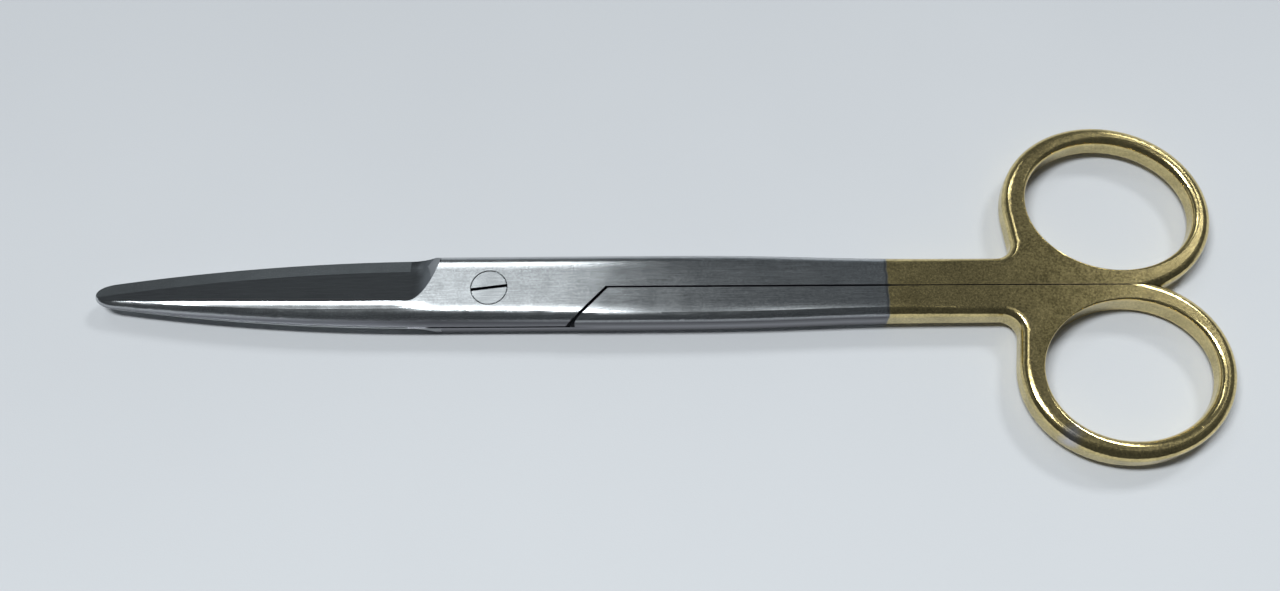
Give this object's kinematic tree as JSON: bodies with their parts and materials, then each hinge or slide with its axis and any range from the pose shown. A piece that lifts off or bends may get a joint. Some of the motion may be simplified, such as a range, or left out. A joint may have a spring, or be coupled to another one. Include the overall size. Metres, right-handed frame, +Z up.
{
  "type": "dissecting scissors",
  "caption": "Straight dissecting scissors with tapered blunt-tipped blades, carbide cutting edges, a slotted joint screw and oval finger rings with a gold-plated finish",
  "frame": {"origin": "on the pivot axis, on the flat underside of the lock, where the end of the joint screw is flush with it", "axes": "+X runs along the scissors from the blade tips to the finger rings, +Y runs across them towards the ring of the upper half, +Z is up, along the pivot axis"},
  "size_m": [0.1715, 0.0544, 0.0052],
  "materials": {
    "upper_half_steel": "satin stainless steel, gold plated on the finger ring and the last third of the shank",
    "lower_half_steel": "satin stainless steel, gold plated on the finger ring and the last third of the shank",
    "upper_insert_carbide": "finely ground carbide",
    "lower_insert_carbide": "finely ground carbide",
    "screw_steel": "satin stainless steel, ground flush with the lock"
  },
  "bodies": {
    "fixed_half": {"lower_half": "lower_half_steel", "lower_insert": "lower_insert_carbide", "joint_screw": "screw_steel"},
    "moving_half": {"upper_half": "upper_half_steel", "upper_insert": "upper_insert_carbide"}
  },
  "joints": [
    {"name": "pivot", "type": "hinge", "parent": "fixed_half", "child": "moving_half", "pos_m": [0, 0, 0], "axis": [0, 0, 1], "range_deg": [0, 130]}
  ]
}
